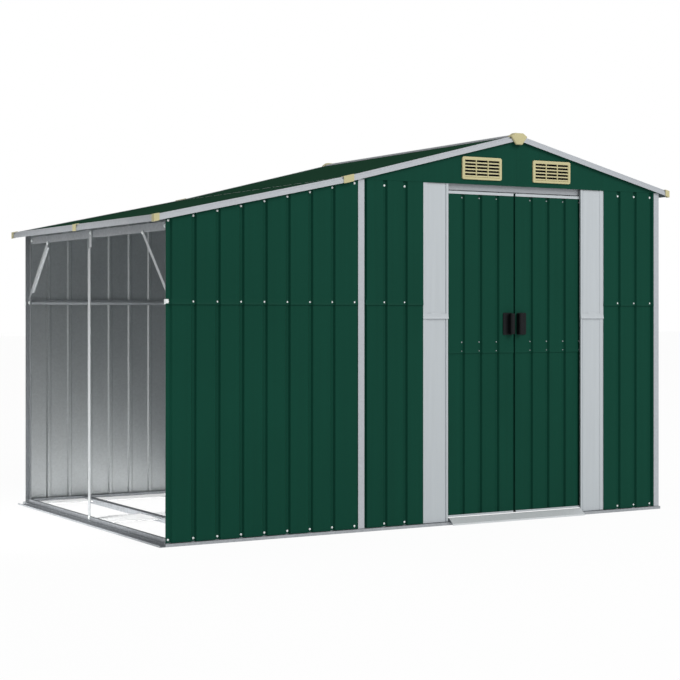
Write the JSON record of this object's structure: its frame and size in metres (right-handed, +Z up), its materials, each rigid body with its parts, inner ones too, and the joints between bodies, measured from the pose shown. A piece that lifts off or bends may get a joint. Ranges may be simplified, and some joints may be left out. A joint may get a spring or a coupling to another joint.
{
  "type": "metal storage shed with open lean-to",
  "caption": "Gabled storage shed of ribbed green steel sheets with sliding doors, louvred gable vents and an open lean-to bay under a lower roof on its left.",
  "frame": {"origin": "on the ground, at the middle of the shed's bounding box seen from above", "axes": "+X to the right along the front, +Y from the front to the back, +Z up"},
  "size_m": [2.7756, 1.8056, 1.8105],
  "materials": {
    "green_sheet": "satin green paint on ribbed sheet steel",
    "galvanised_frame": "plain galvanised steel",
    "pale_panel": "pale grey painted sheet steel",
    "beige_plastic": "moulded beige plastic",
    "black_plastic": "moulded black plastic"
  },
  "bodies": {
    "shed": {"lean_to_front_wall": "green_sheet", "lean_to_back_wall": "green_sheet", "front_wall_left": "green_sheet", "front_wall_right": "green_sheet", "back_wall": "green_sheet", "right_wall": "green_sheet", "front_gable_left": "green_sheet", "front_gable_right": "green_sheet", "back_gable": "green_sheet", "roof_right": "green_sheet", "roof_left": "green_sheet", "roof_lean_to": "green_sheet", "base_front_rail": "galvanised_frame", "base_back_rail": "galvanised_frame", "base_left_rail": "galvanised_frame", "base_right_rail": "galvanised_frame", "floor_rails": "galvanised_frame", "left_wall": "galvanised_frame", "door_threshold": "galvanised_frame", "front_left_post": "galvanised_frame", "back_left_post": "galvanised_frame", "front_right_post": "galvanised_frame", "back_right_post": "galvanised_frame", "lean_to_front_post": "galvanised_frame", "lean_to_back_post": "galvanised_frame", "lean_to_eave_beam": "galvanised_frame", "lean_to_centre_post": "galvanised_frame", "lean_to_braces": "galvanised_frame", "lean_to_girts": "galvanised_frame", "room_girts": "galvanised_frame", "door_track": "galvanised_frame", "ridge_cap": "galvanised_frame", "room_purlins": "galvanised_frame", "lean_to_purlin": "galvanised_frame", "front_verge_trims": "galvanised_frame", "back_verge_trims": "galvanised_frame", "eave_trims": "galvanised_frame", "floor_plates": "pale_panel", "door_jamb_left": "pale_panel", "door_jamb_right": "pale_panel", "vent_left": "beige_plastic", "vent_right": "beige_plastic", "eave_corner_caps": "beige_plastic", "slope_break_caps": "beige_plastic", "eave_joint_caps": "beige_plastic", "peak_caps": "beige_plastic"},
    "left_door": {"left_door_panel": "green_sheet", "left_door_frame": "pale_panel", "left_door_handle": "black_plastic"},
    "right_door": {"right_door_panel": "green_sheet", "right_door_frame": "pale_panel", "right_door_handle": "black_plastic"}
  },
  "joints": [
    {"name": "left_door_slide", "type": "slide", "parent": "shed", "child": "left_door", "axis": [-1, 0, 0], "range_m": [0, 0.3]},
    {"name": "right_door_slide", "type": "slide", "parent": "shed", "child": "right_door", "axis": [1, 0, 0], "range_m": [0, 0.3]}
  ]
}
